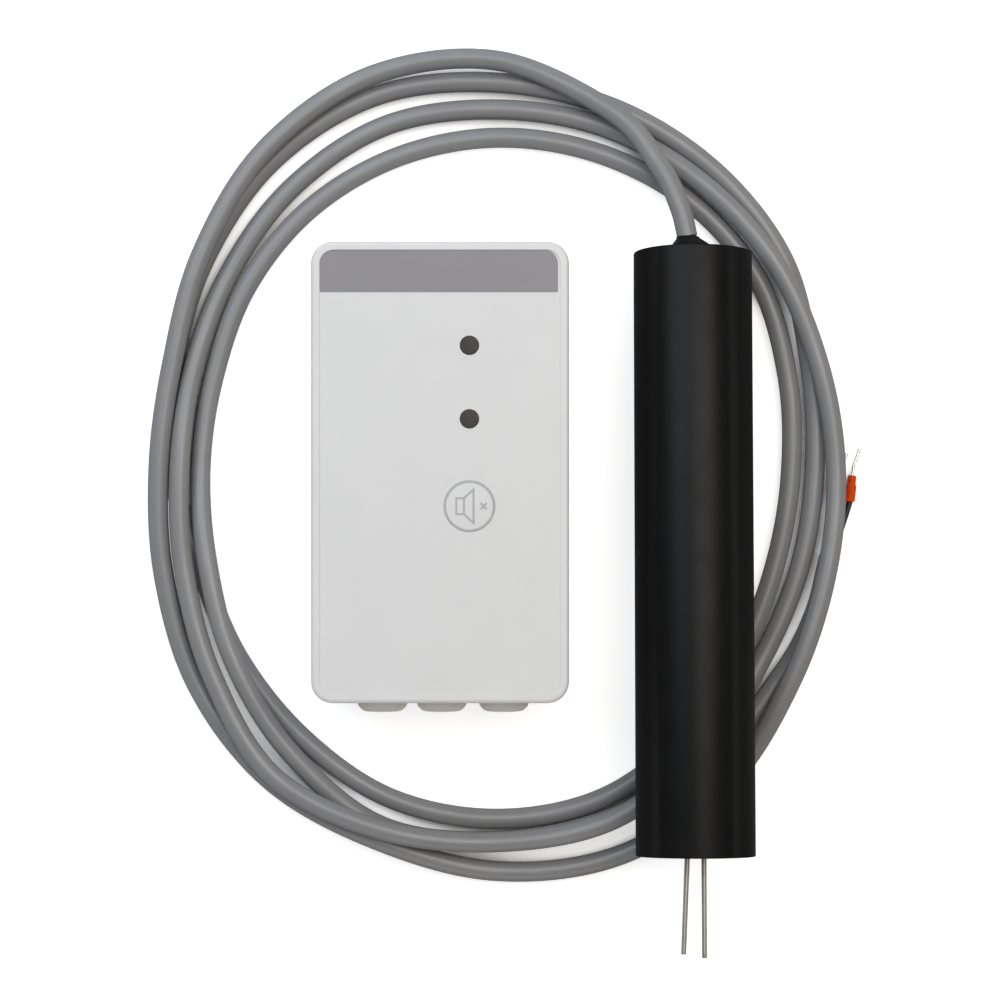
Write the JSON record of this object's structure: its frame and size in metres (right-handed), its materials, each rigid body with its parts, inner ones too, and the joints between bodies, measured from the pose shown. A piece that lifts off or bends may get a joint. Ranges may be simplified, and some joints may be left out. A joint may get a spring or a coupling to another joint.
{
  "type": "level alarm",
  "caption": "Liquid level alarm: a flat wall unit with two lamps and a mute key, and a cylindrical rod probe on its loosely coiled cable.",
  "frame": {"origin": "centre of the signalling unit's back face, on the wall or the table", "axes": "+X to the right and +Y up as one reads the unit's front, +Z out of its front"},
  "size_m": [0.2039, 0.255, 0.0464],
  "materials": {
    "housing": "light grey moulded ABS, satin",
    "foil": "light grey polyester foil, matt",
    "header_print": "mid grey screen print, matt",
    "key": "light grey key with a printed pictogram, matt",
    "lamp_window": "dark smoked lens, lamp off",
    "switch_case": "tinned sheet",
    "black_plastic": "black moulded plastic",
    "board": "green solder resist",
    "screws": "zinc plated",
    "red_lens": "red diffused epoxy",
    "green_lens": "green diffused epoxy",
    "transformer_case": "dark blue potted case",
    "fuse_body": "white ceramic",
    "clips": "bright brass",
    "terminal_green": "green polyamide",
    "terminal_grey": "grey polyamide",
    "capacitor_sleeve": "dark blue shrink sleeve",
    "varistor_coat": "blue epoxy coat",
    "grommets": "grey-brown soft rubber",
    "barrel": "black PVC tube, satin",
    "resin": "black moulded plug and resin",
    "boot": "black soft rubber",
    "jacket": "grey PVC jacket, satin",
    "electrode_steel": "drawn stainless rod",
    "sleeves": "shrink sleeve",
    "core_black": "black PVC core",
    "core_white": "white PVC core",
    "collar": "orange polypropylene collar",
    "tinned_copper": "tinned copper tube"
  },
  "bodies": {
    "housing": {"base_shell": "housing", "cover_shell": "housing", "front_foil": "foil", "header_band": "header_print", "alarm_window": "lamp_window", "normal_window": "lamp_window", "mute_switch": "switch_case", "led_spacers": "black_plastic", "relay": "black_plastic", "buzzer": "black_plastic", "rectifier": "black_plastic", "regulator": "black_plastic", "comparator_chip": "black_plastic", "circuit_board": "board", "board_screws": "screws", "terminal_screws": "screws", "alarm_led": "red_lens", "normal_led": "green_lens", "transformer": "transformer_case", "fuse": "fuse_body", "fuse_clips": "clips", "mains_terminal": "terminal_green", "relay_terminal": "terminal_green", "probe_terminal": "terminal_grey", "smoothing_capacitor": "capacitor_sleeve", "varistor": "varistor_coat", "grommet_left": "grommets", "grommet_middle": "grommets", "grommet_right": "grommets", "probe_barrel": "barrel", "probe_head": "resin", "probe_nose": "resin", "potting": "resin", "cable_boot": "boot", "jacket_inlet": "jacket", "probe_cable": "jacket", "electrode_left": "electrode_steel", "electrode_right": "electrode_steel", "electrode_sleeves": "sleeves", "inner_core_black": "core_black", "core_black": "core_black", "inner_core_white": "core_white", "core_white": "core_white", "ferrule_collar_black": "collar", "ferrule_collar_white": "collar", "ferrule_pin_black": "tinned_copper", "ferrule_pin_white": "tinned_copper"},
    "key": {"mute_key": "key", "mute_switch_button": "black_plastic"}
  },
  "joints": [
    {"name": "mute_press", "type": "slide", "parent": "housing", "child": "key", "axis": [0, 0, -1], "range_m": [0, 0.0005], "stiffness_N_per_m": 2500, "springref_m": -0.0002}
  ]
}
